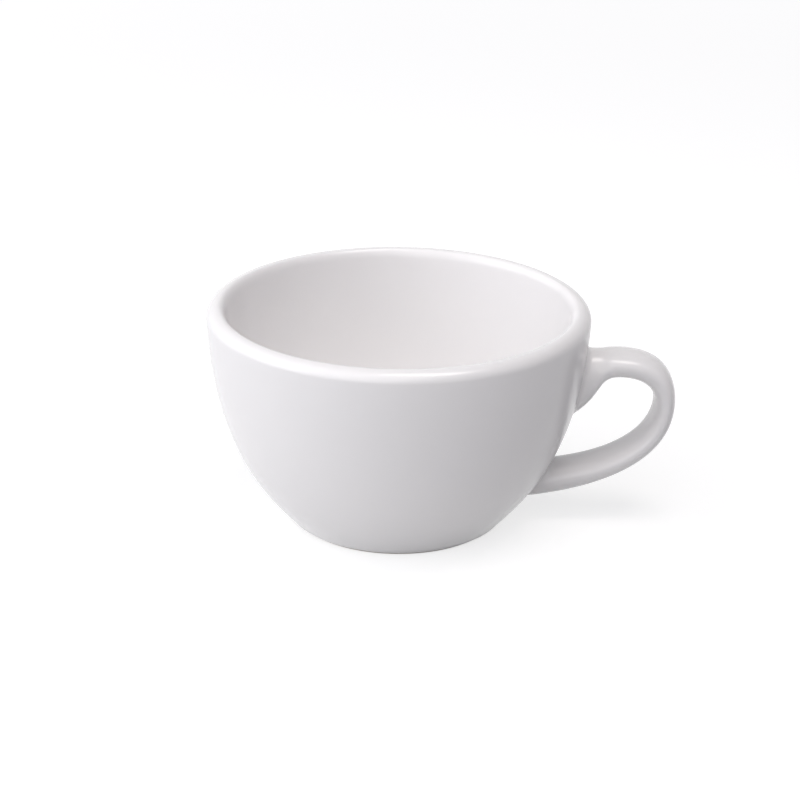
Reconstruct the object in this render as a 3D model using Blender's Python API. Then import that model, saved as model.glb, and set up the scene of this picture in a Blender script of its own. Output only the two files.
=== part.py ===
"""A thick-walled coffee cup of glazed porcelain with a loop handle, in metres, +Z up.

The bowl and the handle are made apart and bonded with two layers of slip. Glaze covers both
down to a bare foot ring, and a second patch of glaze lies inside that ring. The named sizes
are the finished ones, over the glaze, and the bare clay under it follows from them. Distances
across are measured from the bowl's axis, and the whole cup is moved sideways at the end so
that the origin is under the middle of its length, on the table.
"""

import math

import bmesh
import bpy
import numpy as np

# Bowl, finished size
RIM_RADIUS = 0.0490
CUP_HEIGHT = 0.0577
FOOT_RADIUS = 0.0275
FLOOR_THICKNESS = 0.0060
FLOOR_RADIUS = 0.0220

# Lip: a broad round outside its crest and a tall, narrow one inside it
LIP_THICKNESS = 0.0050
LIP_CREST_INSET = 0.0033
LIP_OUTER_ROUND = 0.0027
LIP_INNER_ROUND = 0.0030

# Outer wall: a Bezier curve that leaves the foot as a cone and arrives at the lip almost upright
FOOT_SLOPE = math.radians(50.5)
FOOT_PULL = 0.0090
RIM_LEAN = math.radians(2.3)
RIM_PULL = 0.0367

# Inner wall: a Bezier curve from the lip to the flat floor, whose pulls are shares of its depth and its run
INNER_LEAN = math.radians(8.0)
INNER_PULL = 0.50
FLOOR_PULL = 0.585

# Foot ring and the recess inside it
FOOT_RING_WIDTH = 0.0042
FOOT_RECESS_DEPTH = 0.0022
RECESS_SLOPE = math.radians(60.0)
FOOT_EDGE_RADIUS = 0.0006
RECESS_CORNER_RADIUS = 0.0010

# Handle, finished size: distances out are from the rim, and drops are from the rim or the crest
HANDLE_DROP = 0.0119
HANDLE_CREST_OUT = 0.0078
HANDLE_REACH = 0.0228
HANDLE_BOW_DROP = 0.0136
HANDLE_WIDTH = 0.0128
HANDLE_THICKNESS = 0.0065
BOW_THICKNESS = 0.0054
UPPER_ROOT_HEIGHT = 0.0175
UPPER_ROOT_RISE = math.radians(32.0)
LOWER_ROOT_BOTTOM = 0.0056
LOWER_ROOT_HEIGHT = 0.0086
LOWER_ROOT_RISE = math.radians(5.6)
ROOT_WIDTH_GAIN = 0.0016
ROOT_WIDTH_POWER = 8
SECTION_POWER = 2.3

# How far each Bezier handle pulls, as a share of the span that it belongs to
OUTER_TURN_PULL = 0.65
INNER_TURN_PULL = 0.61
SWEEP_START_PULL = 0.63
SWEEP_END_PULL = 0.49
WEB_START_PULL = 0.78
WEB_END_PULL = 0.525

# Layers, and the gap that neighbouring pieces keep
GLAZE_THICKNESS = 0.0003
SLIP_THICKNESS = 0.0006
CLEARANCE = 0.0003
GLAZE_LINE = 0.0010
CUTTER_OVERRUN = 0.0050

# Fineness of the facets
TURN_SEGMENTS = 48
WALL_STEPS = 10
LIP_STEPS = 4
INNER_STEPS = 14
CORNER_STEPS = 2
SPAN_STEPS = 8
SECTION_POINTS = 20
CURVE_SAMPLES = 200
MERGE_DISTANCE = 1e-7
SHARP_ANGLE = math.radians(35.0)

# What follows from the sizes above
CLAY_INSET = GLAZE_THICKNESS + CLEARANCE
CREST_LEVEL = CUP_HEIGHT - HANDLE_DROP
LIP_LEVEL = CUP_HEIGHT - LIP_OUTER_ROUND
FLOOR_LEVEL = FOOT_RECESS_DEPTH + FLOOR_THICKNESS
OUTERMOST = RIM_RADIUS + HANDLE_REACH
WEB_FOOT_LEVEL = CREST_LEVEL - UPPER_ROOT_HEIGHT
LOWER_ROOT_TOP = LOWER_ROOT_BOTTOM + LOWER_ROOT_HEIGHT
ROOT_EMBED = LIP_THICKNESS / 2
SLIP_BED_INSET = CLAY_INSET - CLEARANCE
SLIP_FACE_INSET = SLIP_BED_INSET - SLIP_THICKNESS
HANDLE_SEAT_INSET = SLIP_FACE_INSET - CLEARANCE


def bezier(controls, shares):
    """Points of a Bezier curve of any degree at the given shares of its run."""
    shares = np.asarray(shares, float)[:, None]
    degree = len(controls) - 1
    return sum(
        math.comb(degree, i) * (1 - shares) ** (degree - i) * shares**i * np.asarray(point, float)
        for i, point in enumerate(controls)
    )


def unit(vector):
    return vector / np.linalg.norm(vector)


def direction(angle):
    return np.array([math.cos(angle), math.sin(angle)])


def parallel(points, distance):
    """An open outline moved to its right by a distance, with every edge kept parallel."""
    points = np.asarray(points, float)
    edges = np.diff(points, axis=0)
    edges /= np.linalg.norm(edges, axis=1)[:, None]
    normals = np.stack([edges[:, 1], -edges[:, 0]], axis=1)
    before = np.vstack([normals[:1], normals])
    after = np.vstack([normals, normals[-1:]])
    middle = before + after
    middle /= np.einsum("ij,ij->i", middle, after)[:, None]
    return points + distance * middle


def rounded(before, corner, after, radius):
    """Points of an arc that rounds a corner."""
    corner = np.asarray(corner, float)
    back = unit(np.asarray(before) - corner)
    on = unit(np.asarray(after) - corner)
    half_angle = math.acos(float(back @ on)) / 2
    reach = radius / math.tan(half_angle)
    centre = corner + unit(back + on) * radius / math.sin(half_angle)
    start = corner + back * reach - centre
    end = corner + on * reach - centre
    turn = math.pi - 2 * half_angle
    shares = np.linspace(0, 1, CORNER_STEPS + 2)
    weights = np.stack([np.sin((1 - shares) * turn), np.sin(shares * turn)], axis=1) / math.sin(turn)
    return list(centre + weights @ np.stack([start, end]))


def outer_wall(shares):
    """The outer wall from the foot up to the lip, at shares of its curve."""
    foot = np.array([FOOT_RADIUS, 0.0])
    lip = np.array([RIM_RADIUS, LIP_LEVEL])
    lip_way = np.array([math.sin(RIM_LEAN), math.cos(RIM_LEAN)])
    return bezier([foot, foot + FOOT_PULL * direction(FOOT_SLOPE), lip - RIM_PULL * lip_way, lip], shares)


def on_wall(level):
    """The point of the finished outer wall at a height, as a distance out and a height."""
    wall = outer_wall(np.linspace(0, 1, CURVE_SAMPLES))
    return np.array([np.interp(level, wall[:, 1], wall[:, 0]), level])


def lip_outline():
    """The lip from the outer wall over its crest to where the inner wall starts, without its outer end."""
    crest = RIM_RADIUS - LIP_CREST_INSET
    inner_run = LIP_THICKNESS - LIP_CREST_INSET
    inner_end = math.pi - math.atan(LIP_INNER_ROUND / inner_run * math.tan(INNER_LEAN))
    outer = np.linspace(0, math.pi / 2, LIP_STEPS + 1)[1:]
    inner = np.linspace(math.pi / 2, inner_end, LIP_STEPS + 1)[1:]
    across = np.concatenate([LIP_CREST_INSET * np.cos(outer), inner_run * np.cos(inner)])
    drop = np.concatenate([LIP_OUTER_ROUND * (1 - np.sin(outer)), LIP_INNER_ROUND * (1 - np.sin(inner))])
    return np.stack([crest + across, CUP_HEIGHT - drop], axis=1)


def inner_wall(top):
    """The inside from the lip's inner end down to the axis: a leaning wall that turns into a flat floor."""
    floor = np.array([FLOOR_RADIUS, FLOOR_LEVEL])
    run, depth = top - floor
    down = np.array([-math.sin(INNER_LEAN), -math.cos(INNER_LEAN)])
    controls = [top, top + INNER_PULL * depth * down, floor + [FLOOR_PULL * run, 0], floor]
    return np.vstack([bezier(controls, np.linspace(0, 1, INNER_STEPS + 1)[1:]), [[0.0, FLOOR_LEVEL]]])


def bowl_outline(inset, bottom, hollow=True):
    """The glazed side of the bowl, from the outer wall at the bottom height over to the axis.

    It lies an inset inside the finished surface. Where hollow is false, the bowl is filled
    to its brim, for cutting things that stand outside it.
    """
    wall = outer_wall(np.linspace(0, 1, WALL_STEPS + 1))
    lip = lip_outline()
    points = np.vstack([wall, lip, inner_wall(lip[-1])])
    points = parallel(points, -inset)
    first_way = points[1] - points[0]
    points[0] = points[0] + first_way * (bottom - points[0][1]) / first_way[1]
    if hollow:
        return list(points)
    outside = list(points[: WALL_STEPS + 1])
    return outside + [np.array([0.0, outside[-1][1]])]


def foot_corners():
    """The bare underside's corners: the ring's outer and inner edge, the recess's edge and its centre."""
    outer = bowl_outline(CLAY_INSET, 0.0)[0]
    inner = outer - [FOOT_RING_WIDTH, 0.0]
    recess = inner + [-FOOT_RECESS_DEPTH / math.tan(RECESS_SLOPE), FOOT_RECESS_DEPTH]
    return outer, inner, recess, np.array([0.0, FOOT_RECESS_DEPTH])


def new_object(name, mesh_maker, material=None):
    """An object with the mesh that a function fills in. One with no material is a cutter."""
    shape = bmesh.new()
    mesh_maker(shape)
    bmesh.ops.remove_doubles(shape, verts=shape.verts, dist=MERGE_DISTANCE)
    bmesh.ops.recalc_face_normals(shape, faces=shape.faces)
    mesh = bpy.data.meshes.new(name)
    shape.to_mesh(mesh)
    shape.free()
    mesh.shade_smooth()
    mesh.set_sharp_from_angle(angle=SHARP_ANGLE)
    thing = bpy.data.objects.new(name, mesh)
    bpy.context.scene.collection.objects.link(thing)
    if material:
        mesh.materials.append(material)
    else:
        thing.hide_render = True
        thing.display_type = "WIRE"
    return thing


def turned(outline):
    """A maker of the solid that an outline sweeps round the axis. Both its ends lie on the axis."""

    def make(shape):
        ring = [shape.verts.new((radius, 0.0, level)) for radius, level in outline]
        edges = [shape.edges.new(pair) for pair in zip(ring, ring[1:])]
        bmesh.ops.spin(
            shape,
            geom=ring + edges,
            cent=(0, 0, 0),
            axis=(0, 0, 1),
            angle=2 * math.pi,
            steps=TURN_SEGMENTS,
            use_merge=True,
        )

    return make


def closed_at_bottom(outline):
    """The outline with a flat bottom, from the axis out to where it starts."""
    return [np.array([0.0, outline[0][1]]), *outline]


def handle_rails():
    """The handle's outer and inner edges in its own plane, as lists of matching points."""
    crest_out = RIM_RADIUS + HANDLE_CREST_OUT
    bow_level = CREST_LEVEL - HANDLE_BOW_DROP
    outer = rail(
        on_wall(CREST_LEVEL),
        np.array([crest_out, CREST_LEVEL]),
        np.array([OUTERMOST, bow_level]),
        on_wall(LOWER_ROOT_BOTTOM),
        0.0,
        OUTER_TURN_PULL,
    )
    inner = rail(
        on_wall(WEB_FOOT_LEVEL),
        np.array([crest_out, CREST_LEVEL - HANDLE_THICKNESS]),
        np.array([OUTERMOST - BOW_THICKNESS, bow_level]),
        on_wall(LOWER_ROOT_TOP),
        UPPER_ROOT_RISE,
        INNER_TURN_PULL,
    )
    return outer, inner


def rail(root, crest, bow, end, root_angle, turn_pull):
    """One edge of the handle: root to crest, crest to bow and bow to lower root, and on into the wall."""
    web_run = crest[0] - root[0]
    across, down = bow[0] - crest[0], crest[1] - bow[1]
    sweep_run, fall = bow[0] - end[0], bow[1] - end[1]
    spans = [
        [
            root,
            root + WEB_START_PULL * web_run * direction(root_angle),
            crest - [WEB_END_PULL * web_run, 0],
            crest,
        ],
        [crest, crest + [turn_pull * across, 0], bow + [0, turn_pull * down], bow],
        [
            bow,
            bow - [0, SWEEP_START_PULL * fall],
            end + SWEEP_END_PULL * sweep_run * direction(LOWER_ROOT_RISE),
            end,
        ],
    ]
    shares = np.linspace(0, 1, SPAN_STEPS + 1)
    curves = [bezier(span, shares) for span in spans]
    inside = [ROOT_EMBED, 0]
    return np.vstack([root - inside, curves[0], curves[1][1:], curves[2][1:], end - inside])


def handle_sections(inset):
    """Rings of points along the handle, an inset inside its finished surface."""
    outer, inner = handle_rails()
    runs = np.linspace(-1, 1, len(outer))
    half_widths = HANDLE_WIDTH / 2 + ROOT_WIDTH_GAIN / 2 * runs**ROOT_WIDTH_POWER - inset
    angles = np.linspace(0, 2 * math.pi, SECTION_POINTS, endpoint=False)
    power = 2 / SECTION_POWER
    along = np.sign(np.cos(angles)) * np.abs(np.cos(angles)) ** power
    aside = np.sign(np.sin(angles)) * np.abs(np.sin(angles)) ** power
    rings = []
    for top, bottom, half_width in zip(outer, inner, half_widths):
        middle = (top + bottom) / 2
        half_height = np.linalg.norm(top - bottom) / 2 - inset
        up = unit(top - bottom)
        rings.append([
            (middle[0] + up[0] * a * half_height, b * half_width, middle[1] + up[1] * a * half_height)
            for a, b in zip(along, aside)
        ])
    return rings


def lofted(inset):
    """A maker of the handle as one closed tube whose ends lie inside the bowl's wall."""

    def make(shape):
        rings = [[shape.verts.new(point) for point in ring] for ring in handle_sections(inset)]
        for first, second in zip(rings, rings[1:]):
            for i in range(SECTION_POINTS):
                j = (i + 1) % SECTION_POINTS
                shape.faces.new((first[i], first[j], second[j], second[i]))
        shape.faces.new(rings[0])
        shape.faces.new(rings[-1])

    return make


def half_space(upper):
    """A maker of a block that holds the handle's upper or lower root."""
    middle = (WEB_FOOT_LEVEL + LOWER_ROOT_TOP) / 2
    low, high = (middle, CUP_HEIGHT) if upper else (-CUTTER_OVERRUN, middle)

    def make(shape):
        made = bmesh.ops.create_cube(shape, size=1.0)
        size = (2 * OUTERMOST, 2 * RIM_RADIUS, high - low)
        bmesh.ops.scale(shape, vec=size, verts=made["verts"])
        bmesh.ops.translate(shape, vec=(0, 0, (low + high) / 2), verts=made["verts"])

    return make


def combine(thing, operation, other):
    """Leaves a Boolean on an object."""
    modifier = thing.modifiers.new(f"{operation.lower()} {other.name}", "BOOLEAN")
    modifier.operation = operation
    modifier.object = other


def finish(name, colour, roughness):
    """A plain ceramic material."""
    made = bpy.data.materials.new(name)
    made.use_nodes = True
    shader = made.node_tree.nodes["Principled BSDF"]
    shader.inputs["Base Color"].default_value = (*colour, 1.0)
    shader.inputs["Roughness"].default_value = roughness
    shader.inputs["Metallic"].default_value = 0.0
    return made


def make_cup_body():
    """The bowl of bare clay, with its foot ring and the recess inside it."""
    outside = bowl_outline(CLAY_INSET, 0.0)
    outer, inner, recess, centre = foot_corners()
    outline = [
        centre,
        *rounded(centre, recess, inner, RECESS_CORNER_RADIUS),
        *rounded(recess, inner, outer, FOOT_EDGE_RADIUS),
        *rounded(inner, outer, outside[1], FOOT_EDGE_RADIUS),
        *outside[1:],
    ]
    new_object("cup_body", turned(outline), finish("biscuit body", (0.83, 0.80, 0.75), 0.85))


def filled_bowl(name, inset):
    """A cutter in the shape of the bowl without its hollow."""
    outline = bowl_outline(inset, -CUTTER_OVERRUN, hollow=False)
    return new_object(name, turned(closed_at_bottom(outline)))


def make_handle():
    """The loop of bare clay, cut to the wall that it is bonded to."""
    handle = new_object("handle", lofted(CLAY_INSET), finish("biscuit handle", (0.82, 0.79, 0.74), 0.85))
    combine(handle, "DIFFERENCE", filled_bowl("handle_seat", HANDLE_SEAT_INSET))


def make_slip_joints():
    """The two layers of slip, each the handle's own section between the bowl and the handle's end."""
    bed = filled_bowl("slip_bed", SLIP_BED_INSET)
    face = filled_bowl("slip_face", SLIP_FACE_INSET)
    for name, upper in (("upper_slip_joint", True), ("lower_slip_joint", False)):
        joint = new_object(name, lofted(CLAY_INSET), finish(f"{name} clay", (0.80, 0.77, 0.73), 0.9))
        combine(joint, "INTERSECT", new_object(f"{name}_side", half_space(upper)))
        combine(joint, "INTERSECT", face)
        combine(joint, "DIFFERENCE", bed)


def make_glaze_coat():
    """One skin of glaze over the bowl and the handle, open at the foot."""
    outside = closed_at_bottom(bowl_outline(0.0, GLAZE_LINE))
    coat = new_object("glaze_coat", turned(outside), finish("white glaze", (0.90, 0.89, 0.88), 0.15))
    combine(coat, "UNION", new_object("handle_glaze_outside", lofted(0.0)))
    under_glaze = closed_at_bottom(bowl_outline(GLAZE_THICKNESS, -CUTTER_OVERRUN))
    combine(coat, "DIFFERENCE", new_object("bowl_under_glaze", turned(under_glaze)))
    combine(coat, "DIFFERENCE", new_object("handle_under_glaze", lofted(GLAZE_THICKNESS)))


def make_foot_recess_glaze():
    """The glaze inside the foot ring: a thin dish that follows the recess and stops above the table."""
    _, inner, recess, centre = foot_corners()
    bare_edge = inner + (recess - inner) * GLAZE_LINE / FOOT_RECESS_DEPTH
    surface = [bare_edge, *rounded(inner, recess, centre, RECESS_CORNER_RADIUS), centre]
    upper = parallel(surface, -CLEARANCE)
    lower = parallel(surface, -CLEARANCE - GLAZE_THICKNESS)
    outline = [*lower[::-1], *upper]
    new_object("foot_recess_glaze", turned(outline), finish("recess glaze", (0.88, 0.87, 0.86), 0.18))


def main():
    for thing in list(bpy.data.objects):
        bpy.data.objects.remove(thing, do_unlink=True)
    make_cup_body()
    make_handle()
    make_slip_joints()
    make_glaze_coat()
    make_foot_recess_glaze()
    made = list(bpy.data.objects)
    axis = bpy.data.objects.new("bowl_axis", None)
    bpy.context.scene.collection.objects.link(axis)
    axis.location.x = (RIM_RADIUS - OUTERMOST) / 2
    for thing in made:
        thing.parent = axis


main()
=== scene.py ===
"""The looks of a thick-walled coffee cup of white glazed porcelain, in metres, +Z up.

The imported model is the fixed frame. Fine meshes stand for its faceted bowl, glaze and foot:
a skin of glaze on the bowl with a rounded edge above the foot, a skin of glaze on the handle that
flows onto the wall at both roots, the bare clay body that shows as the foot ring, and the glaze
inside the foot. The handle's clay core and the two slip joints stay as they are, under the glaze.
"""

import math

import bpy
import numpy as np
from mathutils import Matrix, Vector


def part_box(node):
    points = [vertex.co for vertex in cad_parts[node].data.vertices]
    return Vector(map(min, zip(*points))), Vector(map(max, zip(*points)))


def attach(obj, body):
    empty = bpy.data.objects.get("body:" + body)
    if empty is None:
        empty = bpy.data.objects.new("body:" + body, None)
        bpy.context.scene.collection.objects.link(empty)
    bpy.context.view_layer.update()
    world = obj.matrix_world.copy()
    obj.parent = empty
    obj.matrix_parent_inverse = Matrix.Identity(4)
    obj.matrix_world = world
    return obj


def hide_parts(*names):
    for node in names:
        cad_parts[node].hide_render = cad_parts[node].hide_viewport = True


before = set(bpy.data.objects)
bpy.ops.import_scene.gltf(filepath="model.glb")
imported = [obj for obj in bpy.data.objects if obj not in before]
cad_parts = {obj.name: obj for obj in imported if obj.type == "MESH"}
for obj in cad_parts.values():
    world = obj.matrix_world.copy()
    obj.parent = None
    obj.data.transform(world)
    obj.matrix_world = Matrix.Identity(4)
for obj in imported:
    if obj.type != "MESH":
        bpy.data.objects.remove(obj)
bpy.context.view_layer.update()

COAT_LOW, COAT_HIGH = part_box("glaze_coat")

# Sizes read from the frame
RIM_RADIUS = (COAT_HIGH.y - COAT_LOW.y) / 2
AXIS_X = COAT_LOW.x + RIM_RADIUS
CUP_HEIGHT = COAT_HIGH.z
GLAZE_LINE = COAT_LOW.z
OUTERMOST = COAT_HIGH.x - AXIS_X

# The bowl's outline, as the solids have it. A pull says how long a curve keeps to its direction at an end:
# on the outer wall it is a length, and on the inside and the handle a share of the curve's run or depth
LIP_THICKNESS = 0.0050
LIP_CREST_INSET = 0.0033
LIP_OUTER_ROUND = 0.0027
LIP_INNER_ROUND = 0.0030
LIP_LEVEL = CUP_HEIGHT - LIP_OUTER_ROUND
FOOT_RADIUS = 0.0275
FOOT_SLOPE = math.radians(50.5)
FOOT_PULL = 0.0090
RIM_LEAN = math.radians(2.3)
RIM_PULL = 0.0367
FOOT_RING_WIDTH = 0.0042
FOOT_EDGE_RADIUS = 0.0006
FOOT_RECESS_DEPTH = 0.0022
RECESS_SLOPE = math.radians(60.0)
RECESS_CORNER_RADIUS = 0.0010
FLOOR_THICKNESS = 0.0060
FLOOR_LEVEL = FOOT_RECESS_DEPTH + FLOOR_THICKNESS
FLOOR_RADIUS = 0.0220
FLOOR_PULL = 0.585
INNER_LEAN = math.radians(8.0)
INNER_PULL = 0.50

# The handle's edges in its own plane, as the solids have them
HANDLE_DROP = 0.0119
CREST_LEVEL = CUP_HEIGHT - HANDLE_DROP
HANDLE_CREST_OUT = 0.0078
CREST_OUT = RIM_RADIUS + HANDLE_CREST_OUT
HANDLE_BOW_DROP = 0.0136
BOW_LEVEL = CREST_LEVEL - HANDLE_BOW_DROP
HANDLE_WIDTH = 0.0128
HANDLE_THICKNESS = 0.0065
BOW_THICKNESS = 0.0054
UPPER_ROOT_HEIGHT = 0.0175
UPPER_ROOT_RISE = math.radians(32.0)
WEB_FOOT_LEVEL = CREST_LEVEL - UPPER_ROOT_HEIGHT
LOWER_ROOT_BOTTOM = 0.0056
LOWER_ROOT_HEIGHT = 0.0086
LOWER_ROOT_TOP = LOWER_ROOT_BOTTOM + LOWER_ROOT_HEIGHT
LOWER_ROOT_RISE = math.radians(5.6)
ROOT_WIDTH_GAIN = 0.0016
ROOT_WIDTH_POWER = 8
ROOT_EMBED = LIP_THICKNESS / 2
SECTION_POWER = 2.3
OUTER_TURN_PULL = 0.65
INNER_TURN_PULL = 0.61
SWEEP_START_PULL = 0.63
SWEEP_END_PULL = 0.49
WEB_START_PULL = 0.78
WEB_END_PULL = 0.525

# Layers, and the fillets where the handle's glaze flows onto the wall
GLAZE_THICKNESS = 0.00025
CLAY_INSET = 0.00032
FILLET_RADIUS = 0.0018
LEAST_FILLET_RUN = 0.0010
MOST_FILLET_RUN = 0.0030
FILLET_BEND = 0.60
SKIRT_SINK = 0.000012

# Fineness of the meshes
TURN_SEGMENTS = 256
WALL_STEPS = 90
LIP_STEPS = 24
CORNER_STEPS = 6
CURVE_SAMPLES = 600
SPAN_SAMPLES = 200
SECTION_POINTS = 96
HANDLE_STATIONS = 170
SKIRT_STEPS = 10
LONGEST_STEP = 0.0020
SHARPEST_BEND = math.radians(3.0)
SLOPE_STEP = 0.00001

# The easing of corners under the glaze: a running average with the weights of a bell curve
SOFTEN_STEP = 0.00025
SOFTEN_REACH = 0.0003
SOFTEN_REACHES = 3

# Glaze: two whites in faint clouds, a satin gloss, a slow ripple and a fine one
GLAZE_WHITES = (0.905, 0.890, 0.880, 1), (0.922, 0.908, 0.899, 1)
CLOUD_SIZE = 0.022
CLOUD_SHARES = 0.1, 0.9
GLAZE_ROUGHNESS = 0.17, 0.25
GLOSS_PATCH_SIZE = 0.006
GLAZE_IOR = 1.5
SCATTER_WEIGHT = 0.08
SCATTER_SCALE = 0.0015
SCATTER_RADIUS = (1.0, 0.9, 0.8)
SLOW_RIPPLE_SIZE = 0.009
SLOW_RIPPLE_HEIGHT = 0.00008
SLOW_RIPPLE_STRENGTH = 0.35
FINE_RIPPLE_SIZE = 0.0013
FINE_RIPPLE_HEIGHT = 0.00001
FINE_RIPPLE_STRENGTH = 0.30

# Bare clay and slip: a dark and a light tone of each, specks and a tooth
BODY_TONES = (0.74, 0.70, 0.64, 1), (0.83, 0.80, 0.75, 1)
BODY_GRAIN = 0.0003
SLIP_TONES = (0.72, 0.69, 0.65, 1), (0.80, 0.77, 0.73, 1)
SLIP_GRAIN = 0.0006
SPECK_SIZE = 0.0011
SPECK_SHARES = -0.6, 1.6
CLAY_ROUGHNESS = 0.72, 0.92
CLAY_ROUGH_PATCH_SIZE = 0.0008
CLAY_IOR = 1.45
TOOTH_HEIGHT = 0.00005
TOOTH_STRENGTH = 0.5

# Where a mix node keeps its colour sockets
MIX_FIRST, MIX_SECOND, MIX_RESULT = 6, 7, 2

# Camera: its place and lens were fitted to the rim, the foot and the outline of the photograph
IMAGE_SIDE = 800
SENSOR_WIDTH = 36.0
FOCAL_PIXELS = 2071.4
AIM_PIXEL = (397.63, 408.67)
CAMERA_AIM_LEVEL = 0.0287
CAMERA_ELEVATION = math.radians(22.55)
CAMERA_DISTANCE = 0.539
CAMERA_ROLL = math.radians(0.72)

# Studio: the floor's colour when it lights things and when it is seen, and the glow that makes it white
FLOOR_SIDE = 6.0
FLOOR_BOUNCE = 0.62
FLOOR_SHADE = 0.38
FLOOR_GLOW = 0.74
FULL_GLOW = 1.0
GLOW_RISE_START = 0.4
GLOW_RISE_END = 1.6
WHITE = (1, 1, 1, 1)
AMBIENT = (0.080, 0.080, 0.105, 1)
LAMP_DISTANCE = 1.2

# Each lamp's name, azimuth and elevation in degrees, watts, colour, and width and height
LAMPS = (
    ("overhead_lamp", -60, 78, 5.5, (1.0, 0.955, 0.93), (0.4, 0.65)),
    ("key_lamp", 45, 38, 18.8, (0.982, 0.978, 1.0), (2.4, 2.2)),
    ("side_lamp", 90, 20, 5.3, (0.95, 0.96, 1.0), (1.6, 1.0)),
)


def bezier(controls, shares):
    """Points of a Bezier curve of any degree, or of many side by side, at shares of its run."""
    controls = np.asarray(controls, float)
    shares = np.asarray(shares, float).reshape(-1, *[1] * (controls.ndim - 1))
    degree = len(controls) - 1
    return sum(
        math.comb(degree, i) * (1 - shares) ** (degree - i) * shares**i * point
        for i, point in enumerate(controls)
    )


def unit(vectors):
    """Vectors of length 1 along the last axis."""
    vectors = np.asarray(vectors, float)
    return vectors / np.linalg.norm(vectors, axis=-1, keepdims=True)


def direction(angle):
    return np.array([math.cos(angle), math.sin(angle)])


def lengths_along(points):
    """How far along an outline each of its points lies."""
    return np.concatenate([[0.0], np.cumsum(np.linalg.norm(np.diff(points, axis=0), axis=1))])


def at_lengths(points, wanted):
    """Points of an outline at wanted lengths along it."""
    along = lengths_along(points)
    return np.stack([np.interp(wanted, along, column) for column in points.T], axis=1)


def parallel(points, distance):
    """An open outline moved to its right by a distance, with every edge kept parallel."""
    points = np.asarray(points, float)
    edges = unit(np.diff(points, axis=0))
    normals = np.stack([edges[:, 1], -edges[:, 0]], axis=1)
    before = np.vstack([normals[:1], normals])
    after = np.vstack([normals, normals[-1:]])
    middle = before + after
    middle /= np.einsum("ij,ij->i", middle, after)[:, None]
    return points + distance * middle


def rounded(before, corner, after, radius):
    """Points of an arc that rounds a corner."""
    corner = np.asarray(corner, float)
    back = unit(np.asarray(before) - corner)
    on = unit(np.asarray(after) - corner)
    half_angle = math.acos(float(back @ on)) / 2
    reach = radius / math.tan(half_angle)
    centre = corner + unit(back + on) * radius / math.sin(half_angle)
    start = corner + back * reach - centre
    end = corner + on * reach - centre
    turn = math.pi - 2 * half_angle
    shares = np.linspace(0, 1, CORNER_STEPS + 2)
    weights = np.stack([np.sin((1 - shares) * turn), np.sin(shares * turn)], axis=1) / math.sin(turn)
    return list(centre + weights @ np.stack([start, end]))


def softened(points):
    """The outline at even steps with its corners eased, as a coat of glaze eases them."""
    length = lengths_along(points)[-1]
    even = at_lengths(points, np.linspace(0, length, int(length / SOFTEN_STEP)))
    reach = int(SOFTEN_REACHES * SOFTEN_REACH / SOFTEN_STEP)
    weights = np.exp(-0.5 * (np.arange(-reach, reach + 1) * SOFTEN_STEP / SOFTEN_REACH) ** 2)
    weights /= weights.sum()
    head = 2 * even[0] - even[reach:0:-1]
    tail = 2 * even[-1] - even[-2 : -reach - 2 : -1]
    padded = np.vstack([head, even, tail])
    return np.stack([np.convolve(column, weights, "valid") for column in padded.T], axis=1)


def thinned(points):
    """The outline with fewer points, which lie closer together where it bends."""
    edges = np.diff(points, axis=0)
    bends = np.abs(np.diff(np.unwrap(np.arctan2(edges[:, 1], edges[:, 0]))))
    effort = np.linalg.norm(edges, axis=1) / LONGEST_STEP
    effort[1:] += bends / SHARPEST_BEND
    done = np.concatenate([[0.0], np.cumsum(effort)])
    wanted = np.linspace(0, done[-1], math.ceil(done[-1]) + 1)
    return np.stack([np.interp(wanted, done, column) for column in points.T], axis=1)


def outer_wall(shares):
    """The outer wall from the foot up to the lip, at shares of its curve."""
    foot = np.array([FOOT_RADIUS, 0.0])
    lip = np.array([RIM_RADIUS, LIP_LEVEL])
    lip_way = np.array([math.sin(RIM_LEAN), math.cos(RIM_LEAN)])
    return bezier([foot, foot + FOOT_PULL * direction(FOOT_SLOPE), lip - RIM_PULL * lip_way, lip], shares)


WALL_CURVE = outer_wall(np.linspace(0, 1, CURVE_SAMPLES))


def wall_radius(levels):
    return np.interp(levels, WALL_CURVE[:, 1], WALL_CURVE[:, 0])


def on_wall(level):
    return np.array([float(wall_radius(level)), level])


def lip_outline():
    """The lip from the outer wall over its crest to where the inner wall starts, without its outer end."""
    crest = RIM_RADIUS - LIP_CREST_INSET
    inner_run = LIP_THICKNESS - LIP_CREST_INSET
    inner_end = math.pi - math.atan(LIP_INNER_ROUND / inner_run * math.tan(INNER_LEAN))
    outer = np.linspace(0, math.pi / 2, LIP_STEPS + 1)[1:]
    inner = np.linspace(math.pi / 2, inner_end, LIP_STEPS + 1)[1:]
    across = np.concatenate([LIP_CREST_INSET * np.cos(outer), inner_run * np.cos(inner)])
    drop = np.concatenate([LIP_OUTER_ROUND * (1 - np.sin(outer)), LIP_INNER_ROUND * (1 - np.sin(inner))])
    return np.stack([crest + across, CUP_HEIGHT - drop], axis=1)


def inner_wall(top):
    """The inside from the lip's inner end down to the axis: a leaning wall that turns into a flat floor."""
    floor = np.array([FLOOR_RADIUS, FLOOR_LEVEL])
    run, depth = top - floor
    down = np.array([-math.sin(INNER_LEAN), -math.cos(INNER_LEAN)])
    controls = [top, top + INNER_PULL * depth * down, floor + [FLOOR_PULL * run, 0], floor]
    return np.vstack([bezier(controls, np.linspace(0, 1, WALL_STEPS + 1)[1:]), [[0.0, FLOOR_LEVEL]]])


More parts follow.
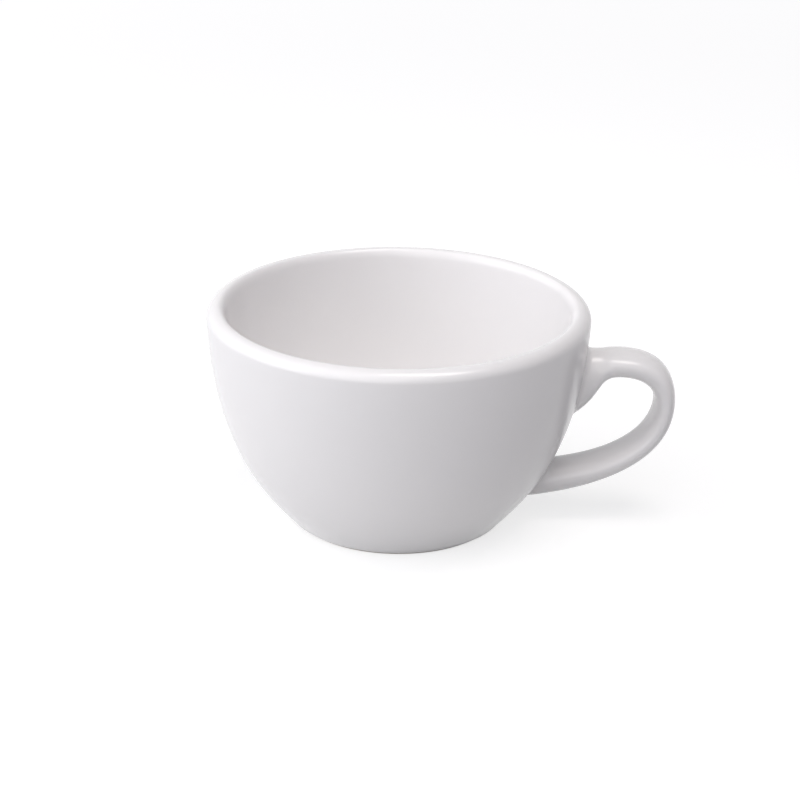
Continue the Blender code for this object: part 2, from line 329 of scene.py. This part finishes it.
def bowl_outline(inset, bottom):
    """The glazed side of the bowl, from the outer wall at the bottom height over to the axis."""
    wall = outer_wall(np.linspace(0, 1, WALL_STEPS + 1))
    lip = lip_outline()
    points = softened(np.vstack([wall, lip, inner_wall(lip[-1])]))
    points = parallel(points, -inset)
    first_way = points[1] - points[0]
    start = points[0] + first_way * (bottom - points[0][1]) / first_way[1]
    outline = np.vstack([start, points[points[:, 1] > bottom + SOFTEN_STEP]])
    outline[-1, 0] = 0.0
    return thinned(outline)


def foot_corners():
    """The bare underside's corners: the ring's outer and inner edge, the recess's edge and its centre."""
    outer = bowl_outline(CLAY_INSET, 0.0)[0]
    inner = outer - [FOOT_RING_WIDTH, 0.0]
    recess = inner + [-FOOT_RECESS_DEPTH / math.tan(RECESS_SLOPE), FOOT_RECESS_DEPTH]
    return outer, inner, recess, np.array([0.0, FOOT_RECESS_DEPTH])


def turned(outline):
    """Points and faces of an outline swept round the axis. Both its ends lie on the axis."""
    angles = np.linspace(0, 2 * math.pi, TURN_SEGMENTS, endpoint=False)
    circle = np.stack([np.cos(angles), np.sin(angles)], axis=1)
    rings = [np.column_stack([r * circle, np.full(TURN_SEGMENTS, z)]) for r, z in outline[1:-1]]
    points = np.vstack([*rings, [0.0, 0.0, outline[0][1]], [0.0, 0.0, outline[-1][1]]])
    first_pole = len(rings) * TURN_SEGMENTS
    last_pole = first_pole + 1
    last_ring = first_pole - TURN_SEGMENTS
    faces = []
    for j in range(TURN_SEGMENTS):
        k = (j + 1) % TURN_SEGMENTS
        faces.append((first_pole, k, j))
        faces.append((last_pole, last_ring + j, last_ring + k))
        for base in range(0, last_ring, TURN_SEGMENTS):
            above = base + TURN_SEGMENTS
            faces.append((base + j, base + k, above + k, above + j))
    return points, faces


def rail(root, crest, bow, end, root_angle, turn_pull):
    """One edge of the handle: root to crest, crest to bow and bow to lower root, and on into the wall."""
    web_run = crest[0] - root[0]
    across, down = bow[0] - crest[0], crest[1] - bow[1]
    sweep_run, fall = bow[0] - end[0], bow[1] - end[1]
    spans = [
        [
            root,
            root + WEB_START_PULL * web_run * direction(root_angle),
            crest - [WEB_END_PULL * web_run, 0],
            crest,
        ],
        [crest, crest + [turn_pull * across, 0], bow + [0, turn_pull * down], bow],
        [
            bow,
            bow - [0, SWEEP_START_PULL * fall],
            end + SWEEP_END_PULL * sweep_run * direction(LOWER_ROOT_RISE),
            end,
        ],
    ]
    curves = [bezier(span, np.linspace(0, 1, SPAN_SAMPLES + 1)) for span in spans]
    inside = [ROOT_EMBED, 0]
    return np.vstack([root - inside, curves[0], curves[1][1:], curves[2][1:], end - inside])


def section_points():
    """The handle's rounded section, evenly spaced round its edge, from -1 to 1 both ways."""
    angles = np.linspace(0, 2 * math.pi, CURVE_SAMPLES)
    power = 2 / SECTION_POWER
    along = np.sign(np.cos(angles)) * np.abs(np.cos(angles)) ** power
    aside = np.sign(np.sin(angles)) * np.abs(np.sin(angles)) ** power
    shape = np.stack([along * HANDLE_THICKNESS, aside * HANDLE_WIDTH], axis=1)
    even = at_lengths(shape, np.linspace(0, lengths_along(shape)[-1], SECTION_POINTS + 1)[:-1])
    return even[:, 0] / HANDLE_THICKNESS, even[:, 1] / HANDLE_WIDTH


def handle_surface():
    """A fine grid of the handle's surface: one row along it for each point of its section."""
    outer = rail(
        on_wall(CREST_LEVEL),
        np.array([CREST_OUT, CREST_LEVEL]),
        np.array([OUTERMOST, BOW_LEVEL]),
        on_wall(LOWER_ROOT_BOTTOM),
        0.0,
        OUTER_TURN_PULL,
    )
    inner = rail(
        on_wall(WEB_FOOT_LEVEL),
        np.array([CREST_OUT, CREST_LEVEL - HANDLE_THICKNESS]),
        np.array([OUTERMOST - BOW_THICKNESS, BOW_LEVEL]),
        on_wall(LOWER_ROOT_TOP),
        UPPER_ROOT_RISE,
        INNER_TURN_PULL,
    )
    runs = np.linspace(-1, 1, len(outer))
    half_widths = HANDLE_WIDTH / 2 + ROOT_WIDTH_GAIN / 2 * runs**ROOT_WIDTH_POWER
    along, aside = section_points()
    middle = (outer + inner) / 2
    half = (outer - inner) / 2
    plane = middle[None] + along[:, None, None] * half[None]
    width = aside[:, None] * half_widths[None]
    return np.stack([plane[:, :, 0], width, plane[:, :, 1]], axis=2)


def wall_normal(points):
    """The outer wall's normals at points on it."""
    levels = points[:, 2]
    slope = (wall_radius(levels + SLOPE_STEP) - wall_radius(levels - SLOPE_STEP)) / (2 * SLOPE_STEP)
    return unit(np.column_stack([unit(points[:, :2]), -slope]))


def root_hit(line):
    """Where a line along the handle comes out of the wall: its length there, the point and the way on."""
    gap = np.hypot(line[:, 0], line[:, 1]) - wall_radius(line[:, 2])
    k = int(np.argmax(gap > 0))
    step = line[k] - line[k - 1]
    share = gap[k - 1] / (gap[k - 1] - gap[k])
    length = lengths_along(line[:k])[-1] + share * np.linalg.norm(step)
    return length, line[k - 1] + share * step, unit(step)


def skirt(lines):
    """The fillet at one root: rings from the wall up to the lengths where the handle's own surface starts.

    The fillet runs farther where the handle meets the wall at a narrow angle.
    """
    lengths, hits, ways = (np.array(values) for values in zip(*map(root_hit, lines)))
    round_way = unit(np.roll(hits, -1, axis=0) - np.roll(hits, 1, axis=0))
    outward = unit(np.cross(round_way, wall_normal(hits)))
    outward *= np.sign(np.einsum("ij,ij->i", outward, hits - hits.mean(axis=0)))[:, None]
    half_angles = np.arccos(np.einsum("ij,ij->i", outward, ways)) / 2
    runs = np.clip(FILLET_RADIUS / np.tan(half_angles), LEAST_FILLET_RUN, MOST_FILLET_RUN)
    feet = hits + runs[:, None] * outward
    flat = unit(feet[:, :2]) * (wall_radius(feet[:, 2]) - SKIRT_SINK)[:, None]
    feet = np.column_stack([flat, feet[:, 2]])
    starts = lengths + runs
    tops = np.array([at_lengths(line, [start])[0] for line, start in zip(lines, starts)])
    corners = [feet, feet + FILLET_BEND * (hits - feet), tops + FILLET_BEND * (hits - tops), tops]
    return bezier(corners, np.linspace(0, 1, SKIRT_STEPS + 1)[:-1]), starts


def handle_rings():
    """Rings of the glazed handle from the wall at its upper root to the wall at its lower root."""
    rows = handle_surface()
    first, first_starts = skirt(rows)
    last, last_starts = skirt(rows[:, ::-1])
    shares = np.linspace(0, 1, HANDLE_STATIONS)
    stations = []
    for row, low, high in zip(rows, first_starts, last_starts):
        total = lengths_along(row)[-1]
        stations.append(at_lengths(row, low + shares * (total - high - low)))
    body = np.stack(stations, axis=1)
    return np.concatenate([first, body, last[::-1]])


def tube_shell(rings, thickness):
    """Points and faces of a closed skin: the rings, and the same rings a thickness deeper."""
    along = np.gradient(rings, axis=0)
    around = np.roll(rings, -1, axis=1) - np.roll(rings, 1, axis=1)
    normals = unit(np.cross(around, along))
    centres = rings.mean(axis=1, keepdims=True)
    normals *= np.sign(np.einsum("ijk,ijk->ij", normals, rings - centres).sum())
    inside = rings - thickness * normals
    count, size = rings.shape[:2]
    points = np.vstack([rings.reshape(-1, 3), inside.reshape(-1, 3)])
    offset = count * size
    end = (count - 1) * size
    faces = []
    for j in range(size):
        k = (j + 1) % size
        for i in range(count - 1):
            a, b, c, d = i * size + j, i * size + k, (i + 1) * size + k, (i + 1) * size + j
            faces.append((d, c, b, a))
            faces.append((offset + a, offset + b, offset + c, offset + d))
        faces.append((j, k, offset + k, offset + j))
        faces.append((offset + end + j, offset + end + k, end + k, end + j))
    return points, faces


class Nodes:
    """Adds shader nodes to a new material and links them."""

    def __init__(self, name):
        self.material = bpy.data.materials.new(name)
        self.material.use_nodes = True
        self.tree = self.material.node_tree
        self.shader = self.tree.nodes["Principled BSDF"]
        self.place = self.add("ShaderNodeTexCoord").outputs["Object"]

    def add(self, kind, inputs=None, **settings):
        node = self.tree.nodes.new(kind)
        for key, value in settings.items():
            setattr(node, key, value)
        for key, value in (inputs or {}).items():
            self.put(value, node.inputs[key])
        return node

    def put(self, value, socket):
        """Links an output to a socket, or sets the socket to a plain value."""
        if isinstance(value, bpy.types.NodeSocket):
            self.tree.links.new(value, socket)
        else:
            socket.default_value = value

    def noise(self, size, detail=2.0):
        """Noise with lumps of about a given size in metres."""
        inputs = {"Vector": self.place, "Scale": 1 / size, "Detail": detail}
        return self.add("ShaderNodeTexNoise", inputs).outputs["Fac"]

    def ramp(self, value, low, high):
        """A value from 0 to 1 turned into a range of numbers."""
        inputs = {"Value": value, "To Min": low, "To Max": high}
        return self.add("ShaderNodeMapRange", inputs).outputs["Result"]

    def mix(self, share, first, second):
        """Two colours mixed by a share."""
        inputs = {"Factor": share, MIX_FIRST: first, MIX_SECOND: second}
        return self.add("ShaderNodeMix", inputs, data_type="RGBA").outputs[MIX_RESULT]

    def bump(self, height, distance, strength, below=None):
        """A bump of a given depth, over another one if there is one below."""
        inputs = {"Height": height, "Distance": distance, "Strength": strength}
        if below:
            inputs["Normal"] = below
        return self.add("ShaderNodeBump", inputs).outputs["Normal"]

    def set(self, **values):
        """Sets the shader's sockets, named with underscores."""
        for key, value in values.items():
            self.put(value, self.shader.inputs[key.replace("_", " ")])


def glaze_material():
    """White glaze: satin gloss over faint clouds of colour, with the ripple of a fired coat."""
    made = Nodes("white_glaze")
    clouds = made.ramp(made.noise(CLOUD_SIZE, detail=3.0), *CLOUD_SHARES)
    made.set(
        Base_Color=made.mix(clouds, *GLAZE_WHITES),
        Roughness=made.ramp(made.noise(GLOSS_PATCH_SIZE), *GLAZE_ROUGHNESS),
        IOR=GLAZE_IOR,
        Subsurface_Weight=SCATTER_WEIGHT,
        Subsurface_Scale=SCATTER_SCALE,
        Subsurface_Radius=SCATTER_RADIUS,
    )
    slow = made.bump(made.noise(SLOW_RIPPLE_SIZE, detail=1.0), SLOW_RIPPLE_HEIGHT, SLOW_RIPPLE_STRENGTH)
    fine = made.noise(FINE_RIPPLE_SIZE)
    made.set(Normal=made.bump(fine, FINE_RIPPLE_HEIGHT, FINE_RIPPLE_STRENGTH, slow))
    return made.material


def biscuit_material(name, tones, grain):
    """Bare fired clay: matt, with a fine tooth and small darker specks."""
    made = Nodes(name)
    specks = made.ramp(made.noise(SPECK_SIZE, detail=4.0), *SPECK_SHARES)
    made.set(
        Base_Color=made.mix(specks, *tones),
        Roughness=made.ramp(made.noise(CLAY_ROUGH_PATCH_SIZE), *CLAY_ROUGHNESS),
        IOR=CLAY_IOR,
        Normal=made.bump(made.noise(grain, detail=4.0), TOOTH_HEIGHT, TOOTH_STRENGTH),
    )
    return made.material


def new_piece(name, points, faces, material):
    """A smooth mesh that rides on the cup, moved from the bowl's axis to the frame."""
    mesh = bpy.data.meshes.new(name)
    points = np.asarray(points, float) + [AXIS_X, 0.0, 0.0]
    mesh.from_pydata(points.tolist(), [], faces)
    mesh.validate()
    mesh.materials.append(material)
    mesh.shade_smooth()
    piece = bpy.data.objects.new(name, mesh)
    bpy.context.scene.collection.objects.link(piece)
    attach(piece, "root")
    return piece


def make_bowl_glaze(material):
    """The glaze on the bowl, a closed skin that ends in a rounded edge above the foot ring."""
    outside = bowl_outline(0.0, GLAZE_LINE + GLAZE_THICKNESS)
    inside = bowl_outline(GLAZE_THICKNESS, GLAZE_LINE + GLAZE_THICKNESS)
    edge_middle = (outside[0] + inside[0]) / 2
    turns = np.linspace(0, math.pi, CORNER_STEPS + 2)[1:-1]
    out_way = outside[0] - edge_middle
    down_way = np.array([0.0, -GLAZE_THICKNESS])
    edge = [edge_middle + out_way * math.cos(t) + down_way * math.sin(t) for t in turns]
    outline = np.vstack([inside[::-1], edge[::-1], outside])
    piece = new_piece("bowl_glaze", *turned(outline), material)
    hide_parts("glaze_coat")


def make_handle_glaze(material):
    """The glaze on the handle, a closed skin with a fillet at each root."""
    piece = new_piece("handle_glaze", *tube_shell(handle_rings(), GLAZE_THICKNESS), material)
    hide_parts("glaze_coat")


def make_clay_body(material):
    """The clay bowl, which shows as the bare foot ring."""
    outside = bowl_outline(CLAY_INSET, 0.0)
    wall = outside[outside[:, 1] > FOOT_EDGE_RADIUS]
    outer, inner, recess, centre = foot_corners()
    outline = np.vstack([
        centre,
        rounded(centre, recess, inner, RECESS_CORNER_RADIUS),
        rounded(recess, inner, outer, FOOT_EDGE_RADIUS),
        rounded(inner, outer, wall[0], FOOT_EDGE_RADIUS),
        wall,
    ])
    piece = new_piece("clay_body", *turned(outline), material)
    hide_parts("cup_body")


def make_recess_glaze(material):
    """The glaze inside the foot ring, a closed dish."""
    _, inner, recess, centre = foot_corners()
    bare_edge = inner + (recess - inner) * GLAZE_LINE / FOOT_RECESS_DEPTH
    surface = [bare_edge, *rounded(inner, recess, centre, RECESS_CORNER_RADIUS), centre]
    upper = parallel(surface, -(CLAY_INSET - GLAZE_THICKNESS))
    lower = parallel(surface, -CLAY_INSET)
    piece = new_piece("recess_glaze", *turned(np.vstack([lower[::-1], upper])), material)
    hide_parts("foot_recess_glaze")


def make_pieces():
    """The four fine meshes, and the clay of the nodes that stay hidden under the glaze."""
    glaze = glaze_material()
    body_clay = biscuit_material("bare_clay", BODY_TONES, BODY_GRAIN)
    slip_clay = biscuit_material("slip_clay", SLIP_TONES, SLIP_GRAIN)
    make_bowl_glaze(glaze)
    make_handle_glaze(glaze)
    make_clay_body(body_clay)
    make_recess_glaze(glaze)
    hidden = {"handle": body_clay, "upper_slip_joint": slip_clay, "lower_slip_joint": slip_clay}
    for node, material in hidden.items():
        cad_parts[node].data.materials.clear()
        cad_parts[node].data.materials.append(material)


def make_camera():
    data = bpy.data.cameras.new("photo_camera")
    data.sensor_width = SENSOR_WIDTH
    data.lens = FOCAL_PIXELS * SENSOR_WIDTH / IMAGE_SIDE
    data.shift_x = (IMAGE_SIDE / 2 - AIM_PIXEL[0]) / IMAGE_SIDE
    data.shift_y = (AIM_PIXEL[1] - IMAGE_SIDE / 2) / IMAGE_SIDE
    camera = bpy.data.objects.new("photo_camera", data)
    bpy.context.scene.collection.objects.link(camera)
    aim = Vector((AXIS_X, 0.0, CAMERA_AIM_LEVEL))
    back = Vector((0.0, -math.cos(CAMERA_ELEVATION), math.sin(CAMERA_ELEVATION)))
    place = Matrix.Translation(aim + back * CAMERA_DISTANCE)
    turn = (-back).to_track_quat("-Z", "Y").to_matrix().to_4x4()
    camera.matrix_world = place @ turn @ Matrix.Rotation(CAMERA_ROLL, 4, "Z")
    bpy.context.scene.camera = camera


def shown_directly(tree):
    """1 for rays from the camera, in reflections and through glass, 0 for those that light things."""
    path = tree.nodes.new("ShaderNodeLightPath")
    total = path.outputs["Is Camera Ray"]
    for name in ("Is Glossy Ray", "Is Transmission Ray"):
        most = tree.nodes.new("ShaderNodeMath")
        most.operation = "MAXIMUM"
        tree.links.new(total, most.inputs[0])
        tree.links.new(path.outputs[name], most.inputs[1])
        total = most.outputs[0]
    return total


def make_world():
    """Surroundings that show as white and light the cup faintly."""
    world = bpy.data.worlds.new("studio")
    bpy.context.scene.world = world
    world.use_nodes = True
    tree = world.node_tree
    ambient = tree.nodes["Background"]
    ambient.inputs["Color"].default_value = AMBIENT
    white = tree.nodes.new("ShaderNodeBackground")
    white.inputs["Color"].default_value = WHITE
    mix = tree.nodes.new("ShaderNodeMixShader")
    tree.links.new(shown_directly(tree), mix.inputs[0])
    tree.links.new(ambient.outputs[0], mix.inputs[1])
    tree.links.new(white.outputs[0], mix.inputs[2])
    tree.links.new(mix.outputs[0], tree.nodes["World Output"].inputs["Surface"])


def floor_material():
    """A pale floor that shows as white, keeps the cup's soft shadow and fades into the background."""
    made = Nodes("pale_floor")
    made.tree.nodes.remove(made.shader)
    shown = shown_directly(made.tree)
    pale = made.add("ShaderNodeBsdfDiffuse", {"Color": made.ramp(shown, FLOOR_BOUNCE, FLOOR_SHADE)})
    distance = made.add("ShaderNodeVectorMath", {0: made.place}, operation="LENGTH")
    rise_inputs = {
        "Value": distance.outputs["Value"],
        "From Min": GLOW_RISE_START,
        "From Max": GLOW_RISE_END,
        "To Min": FLOOR_GLOW,
        "To Max": FULL_GLOW,
    }
    rise = made.add("ShaderNodeMapRange", rise_inputs, interpolation_type="SMOOTHSTEP")
    strength = made.add("ShaderNodeMath", {0: shown, 1: rise.outputs["Result"]}, operation="MULTIPLY")
    glow = made.add("ShaderNodeEmission", {"Strength": strength.outputs[0]})
    both = made.add("ShaderNodeAddShader", {0: pale.outputs[0], 1: glow.outputs[0]})
    made.put(both.outputs[0], made.tree.nodes["Material Output"].inputs["Surface"])
    return made.material


def make_floor():
    half = FLOOR_SIDE / 2
    corners = [(-half, -half, 0), (half, -half, 0), (half, half, 0), (-half, half, 0)]
    mesh = bpy.data.meshes.new("floor")
    mesh.from_pydata(corners, [], [(0, 1, 2, 3)])
    mesh.materials.append(floor_material())
    floor = bpy.data.objects.new("floor", mesh)
    bpy.context.scene.collection.objects.link(floor)


def make_lamp(name, azimuth, elevation, watts, colour, size):
    """A soft lamp that faces the cup. Azimuth 0 is the camera's side and 90 its left."""
    data = bpy.data.lights.new(name, "AREA")
    data.shape = "RECTANGLE"
    data.size, data.size_y = size
    data.energy = watts
    data.color = colour
    lamp = bpy.data.objects.new(name, data)
    bpy.context.scene.collection.objects.link(lamp)
    turn, rise = math.radians(azimuth), math.radians(elevation)
    way = Vector((-math.sin(turn) * math.cos(rise), -math.cos(turn) * math.cos(rise), math.sin(rise)))
    lamp.location = Vector((AXIS_X, 0.0, CUP_HEIGHT / 2)) + LAMP_DISTANCE * way
    lamp.rotation_euler = (-way).to_track_quat("-Z", "Y").to_euler()
    lamp.visible_camera = False


def make_studio():
    make_camera()
    make_world()
    make_floor()
    for lamp in LAMPS:
        make_lamp(*lamp)
    bpy.context.scene.view_settings.view_transform = "Standard"


make_pieces()
make_studio()
bpy.context.view_layer.update()
